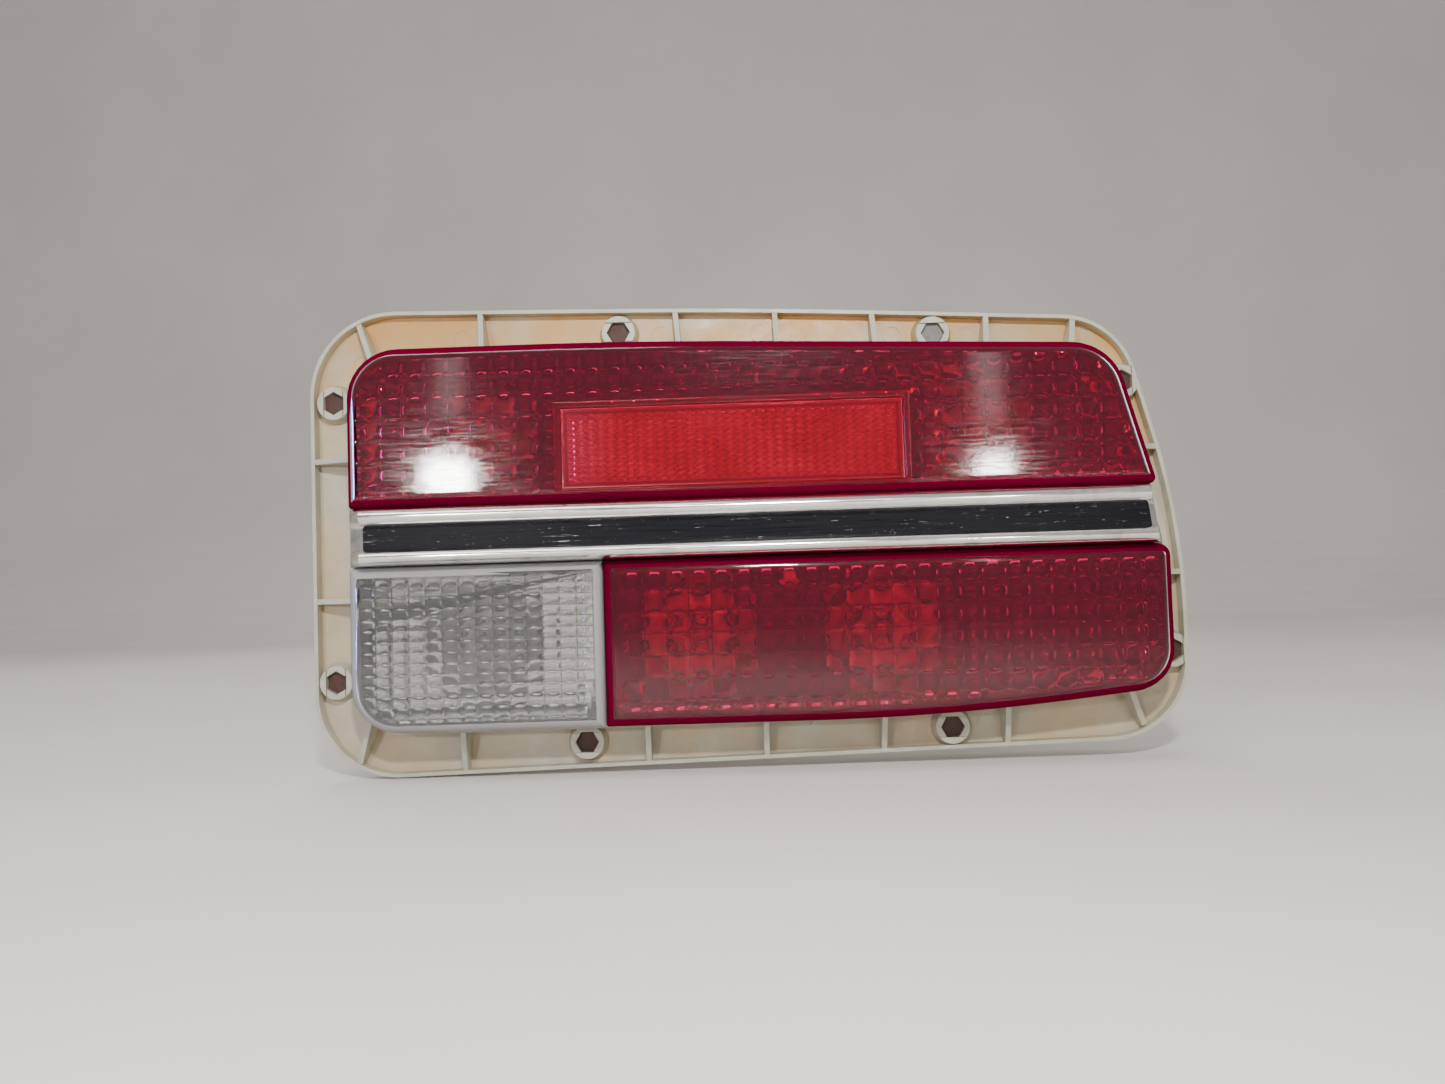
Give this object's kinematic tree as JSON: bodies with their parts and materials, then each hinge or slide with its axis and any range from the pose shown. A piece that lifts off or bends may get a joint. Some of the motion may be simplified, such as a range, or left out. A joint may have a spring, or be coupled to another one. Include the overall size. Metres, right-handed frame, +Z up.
{
  "type": "rear combination lamp",
  "caption": "Two-tier car rear lamp: red lenses, clear reverse lens, reflex reflector and chrome bar in a ribbed cream housing, with twist-out bulb holders.",
  "frame": {"origin": "middle of the body panel's opening, in the plane of the flange's back face", "axes": "+X to the right seen from the rear of the car, +Z up, +Y into the car; the lenses face -Y"},
  "size_m": [0.4379, 0.1057, 0.2361],
  "materials": {
    "housing_plastic": "satin moulded plastic, yellowed on the channel floor",
    "metallised": "vacuum-metallised plastic",
    "plated_steel": "zinc plated",
    "red_lens": "transparent red acrylic, lightly scuffed",
    "clear_lens": "clear acrylic, slightly hazy",
    "reflex_red": "prismatic red acrylic",
    "chrome_trim": "bright chrome with a black painted recess",
    "black_rubber": "matt",
    "rusty_steel": "rusted",
    "holder_plastic": "satin",
    "brass_contact": "lightly tarnished",
    "spring_steel": "bright wire",
    "bulb_glass": "clear",
    "filament_wire": "drawn wire"
  },
  "bodies": {
    "lamp_body": {"housing": "housing_plastic", "upper_reflector": "metallised", "lower_reflector": "metallised", "reverse_reflector": "metallised", "reflector_screws": "plated_steel", "upper_lens": "red_lens", "lower_lens": "red_lens", "reverse_lens": "clear_lens", "reflex_reflector": "reflex_red", "trim_bar": "chrome_trim", "trim_nuts": "plated_steel", "lens_seal": "black_rubber", "panel_gasket": "black_rubber", "mounting_bolts": "rusty_steel"},
    "upper_left_socket": {"upper_left_holder": "holder_plastic", "upper_left_seal": "black_rubber", "upper_left_sleeve": "plated_steel", "upper_left_spring": "spring_steel", "upper_left_terminals": "brass_contact"},
    "upper_left_plunger": {"upper_left_contact": "brass_contact"},
    "upper_left_bulb": {"upper_left_bulb_base": "brass_contact", "upper_left_bulb_glass": "bulb_glass", "upper_left_filament": "filament_wire"},
    "upper_right_socket": {"upper_right_holder": "holder_plastic", "upper_right_seal": "black_rubber", "upper_right_sleeve": "plated_steel", "upper_right_spring": "spring_steel", "upper_right_terminals": "brass_contact"},
    "upper_right_plunger": {"upper_right_contact": "brass_contact"},
    "upper_right_bulb": {"upper_right_bulb_base": "brass_contact", "upper_right_bulb_glass": "bulb_glass", "upper_right_filament": "filament_wire"},
    "lower_left_socket": {"lower_left_holder": "holder_plastic", "lower_left_seal": "black_rubber", "lower_left_sleeve": "plated_steel", "lower_left_spring": "spring_steel", "lower_left_terminals": "brass_contact"},
    "lower_left_plunger": {"lower_left_contact": "brass_contact"},
    "lower_left_bulb": {"lower_left_bulb_base": "brass_contact", "lower_left_bulb_glass": "bulb_glass", "lower_left_filament": "filament_wire"},
    "lower_right_socket": {"lower_right_holder": "holder_plastic", "lower_right_seal": "black_rubber", "lower_right_sleeve": "plated_steel", "lower_right_spring": "spring_steel", "lower_right_terminals": "brass_contact"},
    "lower_right_plunger": {"lower_right_contact": "brass_contact"},
    "lower_right_bulb": {"lower_right_bulb_base": "brass_contact", "lower_right_bulb_glass": "bulb_glass", "lower_right_filament": "filament_wire"},
    "reverse_socket": {"reverse_holder": "holder_plastic", "reverse_seal": "black_rubber", "reverse_sleeve": "plated_steel", "reverse_spring": "spring_steel", "reverse_terminals": "brass_contact"},
    "reverse_plunger": {"reverse_contact": "brass_contact"},
    "reverse_bulb": {"reverse_bulb_base": "brass_contact", "reverse_bulb_glass": "bulb_glass", "reverse_filament": "filament_wire"}
  },
  "joints": [
    {"name": "upper_left_socket_twist", "type": "hinge", "parent": "lamp_body", "child": "upper_left_socket", "pos_m": [-0.131, 0.036, 0.056], "axis": [0, 1, 0], "range_deg": [0, 45]},
    {"name": "upper_left_bulb_push", "type": "slide", "parent": "upper_left_socket", "child": "upper_left_bulb", "axis": [0, 1, 0], "range_m": [0, 0.002], "stiffness_N_per_m": 1500},
    {"name": "upper_left_contact_push", "type": "slide", "parent": "upper_left_socket", "child": "upper_left_plunger", "axis": [0, 1, 0], "range_m": [0, 0.002], "stiffness_N_per_m": 1500, "deforming": ["upper_left_spring"]},
    {"name": "upper_right_socket_twist", "type": "hinge", "parent": "lamp_body", "child": "upper_right_socket", "pos_m": [0.12, 0.036, 0.053], "axis": [0, 1, 0], "range_deg": [0, 45]},
    {"name": "upper_right_bulb_push", "type": "slide", "parent": "upper_right_socket", "child": "upper_right_bulb", "axis": [0, 1, 0], "range_m": [0, 0.002], "stiffness_N_per_m": 1500},
    {"name": "upper_right_contact_push", "type": "slide", "parent": "upper_right_socket", "child": "upper_right_plunger", "axis": [0, 1, 0], "range_m": [0, 0.002], "stiffness_N_per_m": 1500, "deforming": ["upper_right_spring"]},
    {"name": "lower_left_socket_twist", "type": "hinge", "parent": "lamp_body", "child": "lower_left_socket", "pos_m": [-0.027, 0.036, -0.045], "axis": [0, 1, 0], "range_deg": [0, 45]},
    {"name": "lower_left_bulb_push", "type": "slide", "parent": "lower_left_socket", "child": "lower_left_bulb", "axis": [0, 1, 0], "range_m": [0, 0.002], "stiffness_N_per_m": 1500},
    {"name": "lower_left_contact_push", "type": "slide", "parent": "lower_left_socket", "child": "lower_left_plunger", "axis": [0, 1, 0], "range_m": [0, 0.002], "stiffness_N_per_m": 1500, "deforming": ["lower_left_spring"]},
    {"name": "lower_right_socket_twist", "type": "hinge", "parent": "lamp_body", "child": "lower_right_socket", "pos_m": [0.069, 0.036, -0.045], "axis": [0, 1, 0], "range_deg": [0, 45]},
    {"name": "lower_right_bulb_push", "type": "slide", "parent": "lower_right_socket", "child": "lower_right_bulb", "axis": [0, 1, 0], "range_m": [0, 0.002], "stiffness_N_per_m": 1500},
    {"name": "lower_right_contact_push", "type": "slide", "parent": "lower_right_socket", "child": "lower_right_plunger", "axis": [0, 1, 0], "range_m": [0, 0.002], "stiffness_N_per_m": 1500, "deforming": ["lower_right_spring"]},
    {"name": "reverse_socket_twist", "type": "hinge", "parent": "lamp_body", "child": "reverse_socket", "pos_m": [-0.131, 0.036, -0.045], "axis": [0, 1, 0], "range_deg": [0, 45]},
    {"name": "reverse_bulb_push", "type": "slide", "parent": "reverse_socket", "child": "reverse_bulb", "axis": [0, 1, 0], "range_m": [0, 0.002], "stiffness_N_per_m": 1500},
    {"name": "reverse_contact_push", "type": "slide", "parent": "reverse_socket", "child": "reverse_plunger", "axis": [0, 1, 0], "range_m": [0, 0.002], "stiffness_N_per_m": 1500, "deforming": ["reverse_spring"]}
  ],
  "couplings": [
    {"joint": "upper_left_contact_push", "follows": "upper_left_bulb_push", "ratio": 1},
    {"joint": "upper_right_contact_push", "follows": "upper_right_bulb_push", "ratio": 1},
    {"joint": "lower_left_contact_push", "follows": "lower_left_bulb_push", "ratio": 1},
    {"joint": "lower_right_contact_push", "follows": "lower_right_bulb_push", "ratio": 1},
    {"joint": "reverse_contact_push", "follows": "reverse_bulb_push", "ratio": 1}
  ]
}
